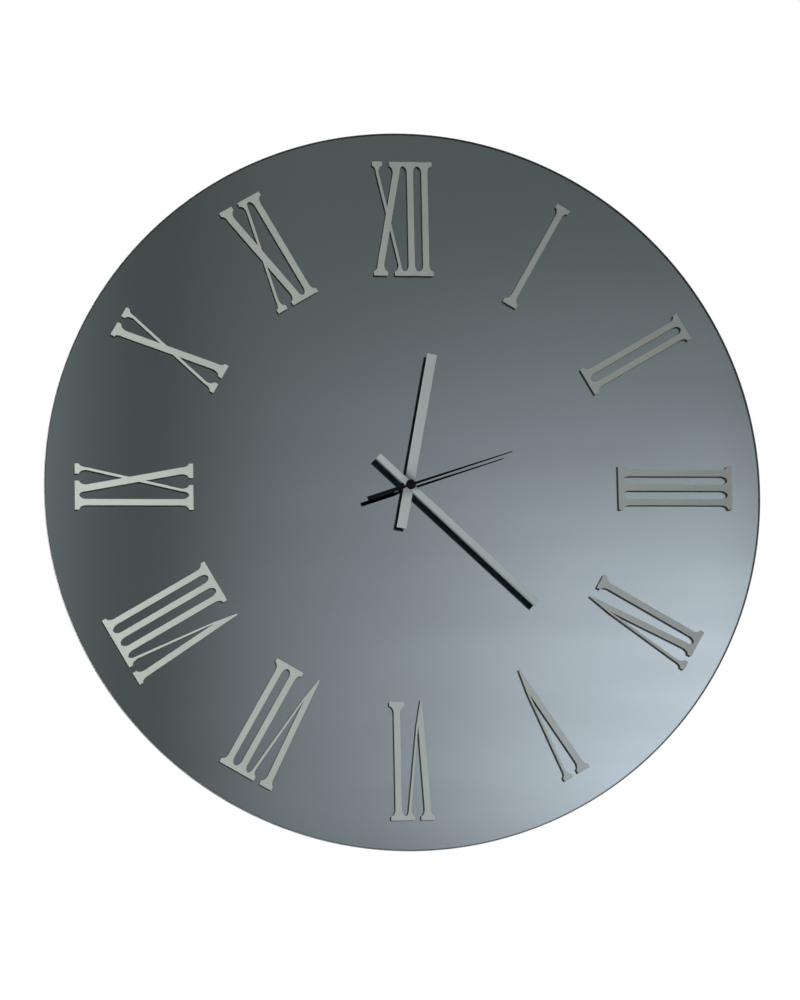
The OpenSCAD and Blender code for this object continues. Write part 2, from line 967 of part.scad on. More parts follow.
module rotor() {
    low = cover_boss_top + end_play;
    color([0.3, 0.3, 0.33])
        hung()
            at(rotor_at) {
                arbor(cover_boss_top - boss_deep + end_play, magnet_z + magnet_h + boss_deep);
                gear(rotor_module, rotor_teeth, rotor_leaf_turn, low, magnet_z - low + eps);
                disc(magnet_r, magnet_z, magnet_h);
            }
}

module intermediate_wheel() {
    low = cover_boss_top + end_play;
    leaf_top = seconds_z + wheel_t + leaf_over;
    leaf_z = intermediate_z + wheel_t;
    color([0.88, 0.86, 0.78])
        hung()
            at(intermediate_at) {
                arbor(cover_boss_top - boss_deep + end_play, leaf_top + boss_deep);
                disc(2 * arbor_r, low, intermediate_z - low + eps);
                gear(rotor_module, intermediate_teeth, 0, intermediate_z, wheel_t);
                gear(seconds_module, intermediate_leaves, intermediate_leaf_turn, leaf_z - eps, leaf_top - leaf_z + eps);
            }
}

module seconds_wheel() {
    low = cover_boss_top + end_play;
    leaf_top = third_z + wheel_t + leaf_over;
    leaf_z = seconds_z + wheel_t;
    tip = second_z + second_t + cap_h - cap_roof - end_play;
    color([0.88, 0.86, 0.78])
        hung() {
            arbor(cover_boss_top - boss_deep + end_play, tip);
            disc(2 * arbor_r, low, seconds_z - low + eps);
            gear(seconds_module, seconds_teeth, 0, seconds_z, wheel_t);
            gear(third_module, seconds_leaves, seconds_leaf_turn, leaf_z - eps, leaf_top - leaf_z + eps);
        }
}

module third_wheel() {
    low = cover_boss_top + end_play;
    leaf_top = centre_z + wheel_t + leaf_over;
    leaf_z = third_z + wheel_t;
    color([0.88, 0.86, 0.78])
        hung()
            at(third_at) {
                arbor(cover_boss_top - boss_deep + end_play, leaf_top + boss_deep);
                disc(1.4 * arbor_r, low, third_z - low + eps);
                gear(third_module, third_teeth, 0, third_z, wheel_t);
                gear(centre_module, third_leaves, third_leaf_turn, leaf_z - eps, leaf_top - leaf_z + eps);
            }
}

module centre_wheel() {
    color([0.85, 0.7, 0.35])
        hung()
            difference() {
                gear(centre_module, centre_teeth, 0, centre_z, wheel_t);
                disc(minute_tube_r + run_gap, centre_z - 1, wheel_t + 2);
            }
}

module cannon_pinion() {
    tube_end = minute_z + bar_t + tube_proud;
    color([0.85, 0.7, 0.35])
        hung()
            difference() {
                union() {
                    disc(minute_tube_r, cannon_flange_z, tube_end - cannon_flange_z);
                    disc(cannon_flange_r, cannon_flange_z, cannon_flange_t);
                    gear(motion_module, cannon_leaves, 0, cannon_leaf_z, cannon_top - cannon_leaf_z);
                }
                disc(arbor_r + run_gap, cannon_flange_z - 1, tube_end);
            }
}

module motion_wheel() {
    leaf_top = hour_wheel_z + wheel_t + leaf_over;
    leaf_z = motion_z + wheel_t;
    color([0.88, 0.86, 0.78])
        hung()
            at(motion_at)
                difference() {
                    union() {
                        gear(motion_module, motion_teeth, motion_turn, motion_z, wheel_t);
                        gear(hour_module, motion_leaves, 0, leaf_z - eps, leaf_top - leaf_z + eps);
                    }
                    disc(motion_post_r + run_gap, motion_z - 1, leaf_top);
                }
}

module hour_wheel() {
    tube_end = hour_z + bar_t + tube_proud;
    tube_low = hour_wheel_z - end_play;
    color([0.88, 0.86, 0.78])
        hung()
            difference() {
                union() {
                    gear(hour_module, hour_teeth, hour_turn, hour_wheel_z, wheel_t);
                    disc(hour_tube_r, tube_low, tube_end - tube_low);
                    disc(hour_collar_r, hour_wheel_z, face_in - end_play - hour_wheel_z);
                }
                disc(minute_tube_r + run_gap, tube_low - 1, tube_end);
            }
}

module setting_knob() {
    gear_top = motion_z + wheel_t + leaf_over;
    gear_low = motion_z - leaf_over;
    knob_z = case_back - knob_gap - knob_h;
    color([0.1, 0.1, 0.1])
        hung()
            at(knob_at) {
                disc(knob_shaft_r, knob_z + eps, gear_low - knob_z);
                gear(motion_module, knob_leaves, knob_turn, gear_low, gear_top - gear_low);
                arbor(gear_top - eps, gear_top + boss_deep);
                difference() {
                    disc(knob_r, knob_z, knob_h);
                    for (i = [0 : knob_flutes - 1])
                        rotate([0, 0, i * 360 / knob_flutes])
                            translate([knob_r, 0, 0])
                                disc(knob_flute_r, knob_z - 1, knob_h + 2);
                }
            }
}

mirror_glass();
numeral_i();
numeral_ii();
numeral_iii();
numeral_iv();
numeral_v();
numeral_vi();
numeral_vii();
numeral_viii();
numeral_ix();
numeral_x();
numeral_xi();
numeral_xii();
hour_hand();
hour_collet();
minute_hand();
minute_collet();
second_hand();
second_cap();
backing_board();
mirror_tape();
wall_bumpers();
hanger_plate();
hanger_screws();
movement_pad();
movement_case();
movement_cover();
battery_cell();
contact_plus();
contact_minus();
circuit_board();
clock_chip();
quartz_crystal();
stator();
coil_core();
coil_bobbin();
coil_winding();
rotor();
intermediate_wheel();
seconds_wheel();
third_wheel();
centre_wheel();
cannon_pinion();
motion_wheel();
hour_wheel();
setting_knob();
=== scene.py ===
import json
import math

import bmesh
import bpy
from mathutils import Matrix, Vector

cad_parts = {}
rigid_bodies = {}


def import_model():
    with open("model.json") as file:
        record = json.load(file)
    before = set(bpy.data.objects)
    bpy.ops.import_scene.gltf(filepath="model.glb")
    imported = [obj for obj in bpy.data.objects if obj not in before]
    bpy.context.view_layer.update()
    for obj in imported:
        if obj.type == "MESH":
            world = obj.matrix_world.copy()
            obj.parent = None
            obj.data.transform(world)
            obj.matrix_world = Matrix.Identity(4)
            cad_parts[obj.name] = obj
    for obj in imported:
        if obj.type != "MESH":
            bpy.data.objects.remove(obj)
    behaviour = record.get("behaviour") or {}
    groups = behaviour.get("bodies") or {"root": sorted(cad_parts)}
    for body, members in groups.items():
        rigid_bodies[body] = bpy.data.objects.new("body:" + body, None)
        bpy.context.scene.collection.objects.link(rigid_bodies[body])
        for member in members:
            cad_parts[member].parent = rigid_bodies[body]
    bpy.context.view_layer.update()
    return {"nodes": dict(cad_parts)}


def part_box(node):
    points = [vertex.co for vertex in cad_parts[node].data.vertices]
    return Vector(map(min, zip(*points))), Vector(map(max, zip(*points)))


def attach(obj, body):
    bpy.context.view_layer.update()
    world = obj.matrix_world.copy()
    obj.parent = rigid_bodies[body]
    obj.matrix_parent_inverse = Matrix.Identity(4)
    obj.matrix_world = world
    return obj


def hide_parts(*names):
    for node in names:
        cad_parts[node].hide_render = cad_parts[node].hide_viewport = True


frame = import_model()
nodes = frame["nodes"]
scene = bpy.context.scene
scene.view_settings.view_transform = "Standard"
print("frame loaded:", len(nodes), "nodes")

glassLow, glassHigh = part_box("mirror_glass")
middle = (glassLow + glassHigh) / 2
dialCentre = Vector((round(middle.x, 4), glassLow.y, round(middle.z, 4)))

# meshes: gaps to join in metres, angles in degrees, and the least part of a normal that counts as facing
meshing = {"copyGap": 2e-6, "treeGap": 1e-6, "axisGap": 1e-7, "flat": 0.4, "sharp": 35, "facing": 0.9}


def rgb(red, green, blue):
    return (red, green, blue, 1.0)


white, black = rgb(1, 1, 1), rgb(0, 0, 0)


class Wire:
    # a shader socket that takes part in sums
    def __init__(self, graph, socket):
        self.graph, self.socket = graph, socket

    def math(self, operation, *values):
        return self.graph.node("Math", {"operation": operation}, dict(enumerate(values)))

    def __add__(self, other):
        return self.math("ADD", self, other)

    __radd__ = __add__

    def __sub__(self, other):
        return self.math("SUBTRACT", self, other)

    def __rsub__(self, other):
        return self.math("SUBTRACT", other, self)

    def __mul__(self, other):
        return self.math("MULTIPLY", self, other)

    __rmul__ = __mul__


class Graph:
    # the node tree of a material or of the world
    def __init__(self, owner):
        owner.use_nodes = True
        self.owner, self.tree = owner, owner.node_tree
        self.tree.nodes.clear()

    def node(self, kind, settings=None, sockets=None, output=0):
        made = self.tree.nodes.new("ShaderNode" + kind)
        for key, value in (settings or {}).items():
            setattr(made, key, value)
        for key, value in (sockets or {}).items():
            if isinstance(value, Wire):
                self.tree.links.new(value.socket, made.inputs[key])
            else:
                made.inputs[key].default_value = value
        return Wire(self, made.outputs[output]) if made.outputs else None

    def axis(self, vector, name):
        return self.node("SeparateXYZ", {}, {"Vector": vector}, name)

    def place(self, stretch=(1, 1, 1), turn=(0, 0, 0), shift=(0, 0, 0)):
        # shifted and turned first, then stretched
        spot = self.node("TexCoord", output="Object")
        turned = self.node("Mapping", {}, {"Vector": spot, "Location": shift, "Rotation": turn})
        return self.node("Mapping", {}, {"Vector": turned, "Scale": stretch})

    def noise(self, scale, detail=3.0, rough=0.55, **how):
        return self.node("TexNoise", {}, {"Vector": self.place(**how), "Scale": scale, "Detail": detail,
                                          "Roughness": rough})

    def grain(self, scale=1.0, **how):
        return self.noise(scale, 2.0, 0.6, **how)   # fine and short, for grit, drawn lines and cuts

    def cells(self, scale):
        return self.node("TexVoronoi", {}, {"Vector": self.place(), "Scale": scale})

    def fit(self, value, low, high, first=0.0, last=1.0):
        return self.node("MapRange", {"interpolation_type": "SMOOTHSTEP"},
                         {0: value, 1: low, 2: high, 3: first, 4: last})

    def even(self, value, first=0.0, last=1.0):
        return self.fit(value, 0.3, 0.7, first, last)   # most of a noise lies between these two

    def tint(self, mask, first, second):
        return self.node("Mix", {"data_type": "RGBA"}, {0: mask, 6: first, 7: second}, 2)

    def bump(self, height, depth):
        return self.node("Bump", {}, {"Height": height, "Distance": depth, "Strength": 1.0})

    def coat(self, **sockets):
        # socket names are written as baseColor for "Base Color"
        named = {"".join(" " + c if c.isupper() else c for c in key).title().replace("Ior", "IOR"): value
                 for key, value in sockets.items()}
        surface = self.node("BsdfPrincipled", {}, named)
        self.node("OutputMaterial", {}, {"Surface": surface})
        return self.owner


def newFinish(name):
    return Graph(bpy.data.materials.new(name))


def plainFinish(name, look):
    # two close colours mottled together, a roughness that wanders and a fine grain under both
    g = newFinish(name)
    mottle = g.noise(look["mottle"], 4.0)
    grit = g.grain(look["grain"])
    mask = g.even(mottle * 0.6 + grit * 0.4)
    return g.coat(baseColor=g.tint(mask, look["dark"], look["light"]),
                  roughness=g.fit(mottle, 0.25, 0.75, *look["rough"]),
                  metallic=look.get("metal", 0.0), normal=g.bump(grit, look["depth"]))


# plated and drawn metal: cloudy plating, and a few dull spots where it is thin
plating = {"cloud": 120.0, "spots": 260.0, "spotSize": 0.22, "thin": (0.45, 0.6), "dulling": 0.12, "depth": 6e-6}


def steelFinish(name, look):
    g = newFinish(name)
    drawn = g.grain(stretch=look["drawn"])
    cloud = g.noise(plating["cloud"])
    spots = g.fit(g.cells(plating["spots"]), 0.0, plating["spotSize"], 1.0, 0.0) * g.fit(cloud, *plating["thin"])
    return g.coat(baseColor=g.tint(g.even(cloud * 0.6 + drawn * 0.4), look["dark"], look["light"]), metallic=1.0,
                  roughness=g.even(drawn * 0.5 + cloud * 0.5, *look["rough"]) + plating["dulling"] * spots,
                  normal=g.bump(drawn, plating["depth"]))


def meshOf(shape, name, sharp=meshing["sharp"]):
    for edge in shape.edges:
        edge.smooth = len(edge.link_faces) == 2 and edge.calc_face_angle(0) < math.radians(sharp)
    for face in shape.faces:
        face.smooth = True
    mesh = bpy.data.meshes.new(name)
    shape.to_mesh(mesh)
    shape.free()
    return mesh


def copyOf(node):
    shape = bmesh.new()
    shape.from_mesh(nodes[node].data)
    bmesh.ops.remove_doubles(shape, verts=shape.verts, dist=meshing["copyGap"])
    bmesh.ops.dissolve_limit(shape, angle_limit=math.radians(meshing["flat"]), verts=shape.verts, edges=shape.edges)
    return shape


def lathe(profile, steps, along=Vector((0, 1, 0)), centre=Vector((0, 0, 0))):
    # closed loop of (radius, place on the axis) points, turned about the axis
    shape = bmesh.new()
    side = along.orthogonal().normalized()
    other = along.cross(side)
    turns = [2 * math.pi * i / steps for i in range(steps)]
    rings = []
    for radius, spot in profile:
        hub = centre + along * spot
        if radius < meshing["axisGap"]:
            rings.append([shape.verts.new(hub)] * steps)
        else:
            rings.append([shape.verts.new(hub + radius * (side * math.cos(t) + other * math.sin(t))) for t in turns])
    for first, second in zip(rings, rings[1:] + rings[:1]):
        for i in range(steps):
            j = (i + 1) % steps
            corners = list(dict.fromkeys([first[i], second[i], second[j], first[j]]))
            if len(corners) > 2:
                shape.faces.new(corners)
    bmesh.ops.recalc_face_normals(shape, faces=shape.faces)
    return shape


def setPiece(name, mesh, finishes, body, slot, *replaced):
    piece = bpy.data.objects.new(name, mesh)
    scene.collection.objects.link(piece)
    for coat in finishes:
        mesh.materials.append(coat)
    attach(piece, body)
    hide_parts(*replaced)
    return piece


def easeEdges(piece, width, steps=2):
    eased = piece.modifiers.new("easedEdges", "BEVEL")
    eased.width, eased.segments = width, steps
    eased.limit_method, eased.angle_limit = "ANGLE", math.radians(meshing["sharp"])
    eased.harden_normals = True


def joinPinches(piece, gap):
    # points closer than the gap become one
    joined = piece.modifiers.new("joinedPinches", "WELD")
    joined.merge_threshold = gap


def frontFirst(mesh):
    # the face towards the viewer takes the first finish, all the rest the second
    for face in mesh.polygons:
        face.material_index = 0 if face.normal.y < -meshing["facing"] else 1


def facesFirst(mesh):
    # front and back take the first finish, the edge the second
    for face in mesh.polygons:
        face.material_index = 0 if abs(face.normal.y) > meshing["facing"] else 1


class GeoTree:
    # a node recipe with named sizes, made into a plain mesh
    def __init__(self, name, **sizes):
        self.name, self.sizes, self.parts = name, sizes, []
        self.tree = bpy.data.node_groups.new(name, "GeometryNodeTree")
        self.tree.interface.new_socket("Geometry", in_out="OUTPUT", socket_type="NodeSocketGeometry")
        self.ids = {}
        for key, value in sizes.items():
            kind = "NodeSocketInt" if isinstance(value, int) else "NodeSocketFloat"
            self.ids[key] = self.tree.interface.new_socket(key, in_out="INPUT", socket_type=kind).identifier
        self.entry = self.tree.nodes.new("NodeGroupInput")

    def size(self, key):
        return self.entry.outputs[key]

    def node(self, kind, settings=None, sockets=None):
        made = self.tree.nodes.new(kind)
        for key, value in (settings or {}).items():
            setattr(made, key, value)
        for key, value in (sockets or {}).items():
            for link in value if isinstance(value, list) else [value]:
                if isinstance(link, bpy.types.NodeSocket):
                    self.tree.links.new(link, made.inputs[key])
                else:
                    made.inputs[key].default_value = link
        return made.outputs

    def geo(self, kind, settings=None, sockets=None):
        return self.node("GeometryNode" + kind, settings, sockets)

    def part(self, mesh):
        holder = bpy.data.objects.new(mesh.name, mesh)
        scene.collection.objects.link(holder)
        self.parts.append(holder)
        return self.geo("ObjectInfo", None, {"Object": holder})["Geometry"]

    def move(self, shape, **how):
        placing = {key.title(): value for key, value in how.items()}
        return self.geo("Transform", None, {"Geometry": shape, **placing})[0]

    def helix(self, steps, turns, height, radius):
        return self.geo("CurveSpiral", None, {"Resolution": steps, "Rotations": turns, "Height": height,
                                              "Start Radius": radius, "End Radius": radius})[0]

    def wire(self, curve, radius, sides):
        ring = self.geo("CurvePrimitiveCircle", None, {"Resolution": sides, "Radius": radius})[0]
        return self.geo("CurveToMesh", None, {"Curve": curve, "Profile Curve": ring, "Fill Caps": True})[0]

    def along(self, x=0.0, y=0.0, z=0.0):
        return self.node("ShaderNodeCombineXYZ", None, {"X": x, "Y": y, "Z": z})[0]

    def repeat(self, spots, shape):
        return self.geo("InstanceOnPoints", None, {"Points": spots, "Instance": shape})[0]

    def join(self, *shapes):
        return self.geo("JoinGeometry", None, {"Geometry": list(shapes)})[0]

    def mesh(self, shape, coat):
        real = self.geo("RealizeInstances", None, {"Geometry": shape})[0]
        dressed = self.geo("SetMaterial", None, {"Geometry": real, "Material": coat})[0]
        leave = self.tree.nodes.new("NodeGroupOutput")
        self.tree.links.new(dressed, leave.inputs[0])
        holder = bpy.data.objects.new(self.name, bpy.data.meshes.new(self.name))
        scene.collection.objects.link(holder)
        grown = holder.modifiers.new(self.name, "NODES")
        grown.node_group = self.tree
        for key, value in self.sizes.items():
            grown[self.ids[key]] = value
        seen = holder.evaluated_get(bpy.context.evaluated_depsgraph_get())
        result = bpy.data.meshes.new_from_object(seen)
        holder.modifiers.remove(grown)
        for done in [holder] + self.parts:
            bpy.data.objects.remove(done)
        shape = bmesh.new()
        shape.from_mesh(result)
        bmesh.ops.remove_doubles(shape, verts=shape.verts, dist=meshing["treeGap"])
        bmesh.ops.recalc_face_normals(shape, faces=shape.faces)
        return meshOf(shape, self.name)


# camera, placed from the outline of the mirror and the ring of numerals
shot = {"distance": 3.0, "azimuth": -9.0, "elevation": -7.9, "roll": -1.12, "lens": 130.66, "reach": 100,
        "aim": (-0.0066, 0.0, -0.0106)}


def setCamera():
    turn, rise, roll = (math.radians(shot[key]) for key in ("azimuth", "elevation", "roll"))
    back = Vector((math.sin(turn) * math.cos(rise), -math.cos(turn) * math.cos(rise), math.sin(rise)))
    right = (-back).cross(Vector((0, 0, 1))).normalized()
    up = right.cross(-back)
    right, up = right * math.cos(roll) + up * math.sin(roll), up * math.cos(roll) - right * math.sin(roll)
    camera = bpy.data.objects.new("camera", bpy.data.cameras.new("camera"))
    scene.collection.objects.link(camera)
    camera.data.lens = shot["lens"]
    camera.data.clip_end = shot["reach"]
    pose = Matrix((right, up, back)).transposed().to_4x4()
    pose.translation = dialCentre + Vector(shot["aim"]) + back * shot["distance"]
    camera.matrix_world = pose
    scene.camera = camera


setCamera()
print("camera set")

# studio: white behind, a dark room in front with one bright side low on the right.
# Pairs are the spans of the view's direction over which a part of the room sets in
studio = {"ambient": 0.195, "dark": 0.083, "streaks": 0.35, "streakSize": (11, 1, 70),
          "glow": 0.376, "glowAcross": (0.0683, 0.2056), "glowDown": (0.2286, 0.0818),
          "glowTint": rgb(1.045, 1.0, 1.06),
          "window": 0.483, "windowAcross": (0.1476, 0.258), "windowDown": (0.1686, 0.0691),
          "edge": 0.222, "edgeAcross": (0.0939, 0.0276), "edgeStart": (-0.3, 0.0),
          "wall": 0.067, "wallAcross": (0.0629, 0.1305),
          "farFade": 0.25, "farAcross": (0.236, 0.262), "lowFade": 0.2, "lowDown": (0.056, 0.036),
          "sides": 0.6, "leftSide": (-0.25, -0.8), "topSide": (0.45, 0.9), "rearSide": (0.0, 0.6),
          "roofTint": rgb(0.985, 1.0, 0.955), "roofDown": (0.15, 0.23)}
lamps = {"key": {"place": (-0.496, -0.42, -0.039), "power": 4.75, "size": 0.35, "tint": (1.0, 1.0, 0.9)},
         "fill": {"place": (0.183, -0.30, -0.355), "power": 0.47, "size": 0.2, "tint": (0.97, 1.0, 1.18)},
         "rear": {"place": (0.9, 1.8, 0.7), "power": 36.0, "size": 1.4, "tint": (1.0, 1.0, 1.0)}}
floorLook = {"height": -1.0, "reach": 8, "mottle": 3.0, "dark": rgb(0.82, 0.82, 0.81),
             "light": rgb(0.85, 0.85, 0.84), "lift": rgb(0.55, 0.55, 0.545), "rough": 0.7}


def setLamp(name, look):
    lamp = bpy.data.objects.new(name + "Lamp", bpy.data.lights.new(name + "Lamp", "AREA"))
    lamp.data.shape, lamp.data.size = "SQUARE", look["size"]
    lamp.data.energy, lamp.data.color = look["power"], look["tint"]
    lamp.location = dialCentre + Vector(look["place"])
    lamp.rotation_mode = "QUATERNION"
    lamp.rotation_quaternion = (dialCentre - lamp.location).to_track_quat("-Z", "Y")
    lamp.visible_camera = lamp.visible_glossy = lamp.visible_transmission = False
    scene.collection.objects.link(lamp)


def setRoom():
    s = studio
    scene.world = bpy.data.worlds.new("studio")
    g = Graph(scene.world)
    way = g.node("TexCoord", output="Generated")
    x, y, z = (g.axis(way, name) for name in "XYZ")
    glow = g.fit(x, *s["glowAcross"]) * g.fit(z, *s["glowDown"])
    window = g.fit(x, *s["windowAcross"]) * g.fit(z, *s["windowDown"])
    drawnOut = g.node("Mapping", {}, {"Vector": way, "Scale": s["streakSize"]})
    streak = g.node("TexNoise", {}, {"Vector": drawnOut, "Scale": 1.0})
    bright = (s["glow"] * glow + s["window"] * window) * (1 + s["streaks"] * (streak - 0.5))
    edge = s["edge"] * g.fit(x, *s["edgeAcross"]) * g.fit(x, *s["edgeStart"])
    wall = s["wall"] * g.fit(x, *s["wallAcross"])
    sides = g.fit(x, *s["leftSide"]) + g.fit(z, *s["topSide"]) + g.fit(y, *s["rearSide"])
    far = 1 - s["farFade"] * g.fit(x, *s["farAcross"])
    low = 1 - s["lowFade"] * g.fit(z, *s["lowDown"])
    room = (s["dark"] + edge + wall + bright) * far * low + s["sides"] * sides
    eye, gloss, through = (g.node("LightPath", output="Is %s Ray" % kind)
                           for kind in ("Camera", "Glossy", "Transmission"))
    seen = gloss.math("MAXIMUM", gloss, through)
    level = eye + (1 - eye) * (seen * room + (1 - seen) * s["ambient"])
    roof = g.tint(g.fit(z, *s["roofDown"]), white, s["roofTint"])
    shade = g.tint(eye, g.tint(glow, roof, s["glowTint"]), white)
    light = g.node("Background", {}, {"Color": shade, "Strength": level})
    g.node("OutputWorld", {}, {"Surface": light})


def setFloor():
    shape = bmesh.new()
    bmesh.ops.create_grid(shape, x_segments=4, y_segments=4, size=floorLook["reach"])
    floor = bpy.data.objects.new("floor", meshOf(shape, "floor"))
    floor.data.transform(Matrix.Translation((0, 0, floorLook["height"])))
    scene.collection.objects.link(floor)
    g = newFinish("floorPaint")
    mottle = g.noise(floorLook["mottle"], 4.0)
    eye = g.node("LightPath", output="Is Camera Ray")
    coat = g.coat(baseColor=g.tint(mottle, floorLook["dark"], floorLook["light"]), roughness=floorLook["rough"],
                  emissionColor=g.tint(eye, black, floorLook["lift"]), emissionStrength=1.0)
    floor.data.materials.append(coat)


setRoom()
for name, look in lamps.items():
    setLamp(name, look)
setFloor()
print("studio set")

# the mirror: a tinted pane with eased edges over a silvered film with a painted back
mirror = {"rim": 0.29991, "hole": 0.004, "arris": 0.0005, "frontGap": 0.00005, "film": 0.00004, "filmGap": 0.00002,
          "filmInset": 0.0001, "holeInset": 0.000025, "steps": 360, "sharp": 20, "ior": 1.52,
          "glassTint": rgb(0.727, 0.80, 0.817), "ripple": 7.0, "rippleStretch": (1, 1, 2.5), "rippleDepth": 4e-6,
          "silver": rgb(0.93, 0.945, 0.95), "haze": 9.0, "silverRough": (0.004, 0.016),
          "dullSilver": rgb(0.10, 0.11, 0.11), "dullBand": (0.2986, 0.2994), "dullDrift": 0.0004}
groundEdge = {"lines": (60, 2600, 60), "light": rgb(0.38, 0.40, 0.40), "dark": rgb(0.28, 0.30, 0.30),
              "rough": (0.4, 0.6), "clear": 0.3, "depth": 1.5e-5}
backPaint = {"light": rgb(0.34, 0.35, 0.36), "dark": rgb(0.27, 0.28, 0.29), "speck": rgb(0.16, 0.16, 0.17),
             "specks": 420.0, "speckSize": 0.16, "speckShow": 0.35, "cloud": 14.0, "peel": 900.0,
             "rough": (0.42, 0.58), "depth": 2.5e-5}


def paneFinish():
    g = newFinish("smokedGlass")
    ripple = g.noise(mirror["ripple"], 1.0, stretch=mirror["rippleStretch"])
    return g.coat(baseColor=mirror["glassTint"], roughness=0.0, transmissionWeight=1.0, ior=mirror["ior"],
                  normal=g.bump(ripple, mirror["rippleDepth"]))


def groundFinish():
    # the ground edge of the pane lets some light in, and has fine lines around the rim
    g = newFinish("groundEdge")
    lines = g.grain(stretch=groundEdge["lines"])
    return g.coat(baseColor=g.tint(g.even(lines), groundEdge["dark"], groundEdge["light"]),
                  roughness=g.even(lines, *groundEdge["rough"]), transmissionWeight=groundEdge["clear"],
                  ior=mirror["ior"], normal=g.bump(lines, groundEdge["depth"]))


def silverFinish():
    # bright silver with a narrow dull band along its edge
    g = newFinish("silvering")
    haze = g.noise(mirror["haze"])
    flat = g.place(shift=(-dialCentre.x, 0, -dialCentre.z), stretch=(1, 0, 1))
    spread = g.node("VectorMath", {"operation": "LENGTH"}, {0: flat}, "Value")
    rim = g.fit(spread + haze * mirror["dullDrift"], *mirror["dullBand"])
    return g.coat(baseColor=g.tint(rim, mirror["silver"], mirror["dullSilver"]), metallic=1.0,
                  roughness=g.even(haze, *mirror["silverRough"]))


def backPaintFinish():
    g = newFinish("mirrorBackPaint")
    cloud = g.noise(backPaint["cloud"], 4.0)
    peel = g.noise(backPaint["peel"], 2.0)
    speck = g.fit(g.cells(backPaint["specks"]), 0.0, backPaint["speckSize"], 1.0, 0.0)
    tone = g.tint(g.even(cloud), backPaint["dark"], backPaint["light"])
    return g.coat(baseColor=g.tint(speck * backPaint["speckShow"], tone, backPaint["speck"]),
                  roughness=g.even(cloud, *backPaint["rough"]), normal=g.bump(peel, backPaint["depth"]))


def makeMirror():
    m, rim, arris = mirror, mirror["rim"], mirror["arris"]
    front, rear = glassLow.y + m["frontGap"], glassHigh.y - m["film"] - m["filmGap"]
    axis = Vector((dialCentre.x, 0, dialCentre.z))
    pane = lathe([(m["hole"], rear), (rim - arris, rear), (rim, rear - arris), (rim, front + arris),
                  (rim - arris, front), (m["hole"], front)], m["steps"], centre=axis)
    mesh = meshOf(pane, "mirrorPane", m["sharp"])
    facesFirst(mesh)
    setPiece("mirrorPane", mesh, [paneFinish(), groundFinish()], "clock", "mirror", "mirror_glass")
    inner, outer = m["hole"] + m["holeInset"], rim - m["filmInset"]
    painted, silvered = glassHigh.y, glassHigh.y - m["film"]
    film = lathe([(inner, painted), (outer, painted), (outer, silvered), (inner, silvered)], m["steps"], centre=axis)
    mesh = meshOf(film, "mirrorFilm", m["sharp"])
    frontFirst(mesh)
    setPiece("mirrorFilm", mesh, [silverFinish(), backPaintFinish()], "clock", "mirror", "mirror_glass")


makeMirror()
print("mirror made")

# sprayed paint and cut edges, as on the numerals and on the bar hands; the dark colour of the cut edges is painted
# shade
spray = {"drift": 38.0, "rough": (0.28, 0.38), "brush": (2400, 2400, 28)}
cutEdge = {"lines": (1500, 90, 1500), "rough": (0.7, 0.9), "depth": 2e-5}


def paleFinish(name, look, angle=None):
    # fine pimples and slow drift; bars get the brushed lines of the metal under the paint
    g = newFinish(name)
    drift = g.noise(spray["drift"])
    pimple = g.grain(look["grain"])
    mask = drift * 0.5 + pimple * 0.5
    height = pimple
    if angle is not None:
        brushed = g.grain(turn=(0, -math.radians(angle), 0), stretch=spray["brush"])
        mask = drift * 0.3 + brushed * 0.7
        height = brushed * 0.7 + pimple * 0.3
    return g.coat(baseColor=g.tint(g.even(mask), look["dark"], look["light"]), metallic=look["flake"],
                  roughness=g.even(drift, *spray["rough"]), normal=g.bump(height, look["depth"]))


def paintedShadeCutEdgeFinish(name, look):
    # cut edges show fine lines across the sheet, over a dark colour that is painted shade
    g = newFinish(name)
    cut = g.grain(stretch=cutEdge["lines"])
    return g.coat(baseColor=g.tint(g.even(cut), look["edge"], look["paintedShadeEdgeLight"]),
                  roughness=g.even(cut, *cutEdge["rough"]), specularIorLevel=look["edgeShine"],
                  normal=g.bump(cut, cutEdge["depth"]))


# numerals: sheet letters with pale fronts, and cut edges coloured dark as painted shade
# the edge colours below are painted shade on the cut sides of the letters
numerals = {"names": "i ii iii iv v vi vii viii ix x xi xii".split(), "ease": 0.00012,
            "light": rgb(0.380, 0.415, 0.408), "dark": rgb(0.341, 0.375, 0.368), "flake": 0.2,
            "grain": 2600.0, "depth": 1.2e-5,
            "edge": rgb(0.15, 0.165, 0.155), "paintedShadeEdgeLight": rgb(0.21, 0.225, 0.215), "edgeShine": 0.3}


def makeNumerals():
    front, edge = paleFinish("numeralPaint", numerals), paintedShadeCutEdgeFinish("numeralEdge", numerals)
    for name in numerals["names"]:
        node, title = "numeral_" + name, "numeral" + name.upper()
        mesh = meshOf(copyOf(node), title)
        frontFirst(mesh)
        piece = setPiece(title, mesh, [front, edge], "clock", "numeral_paint", node)
        easeEdges(piece, numerals["ease"])


makeNumerals()
print("numerals made")

# hands: two bars with edges and backs coloured dark as painted shade, brushed along their angle at rest, and a black
# strip under a cap
hands = {"ease": 0.0001, "angles": {"hour": 11.1, "minute": 133.2},
         "light": rgb(0.40, 0.45, 0.468), "dark": rgb(0.36, 0.41, 0.427), "flake": 0.2,
         "grain": 2200.0, "depth": 1e-5,
         "edge": rgb(0.012, 0.018, 0.018), "paintedShadeEdgeLight": rgb(0.02, 0.03, 0.03), "edgeShine": 0.1}
# colours of the hands' backs, dark as painted shade
handBack = {"light": rgb(0.12, 0.22, 0.21), "dark": rgb(0.09, 0.18, 0.17), "mottle": 60.0, "grain": 2200.0,
            "rough": (0.7, 0.9), "depth": 1e-5}
strip = {"light": rgb(0.005, 0.005, 0.0055), "dark": rgb(0.003, 0.003, 0.0032), "shine": 0.12,
         "drift": 60.0, "grain": 3000.0, "rough": (0.35, 0.5), "depth": 8e-6}
cap = {**strip, "rough": (0.22, 0.34), "sharp": 25, "ease": 0.00015, "easeSteps": 3}


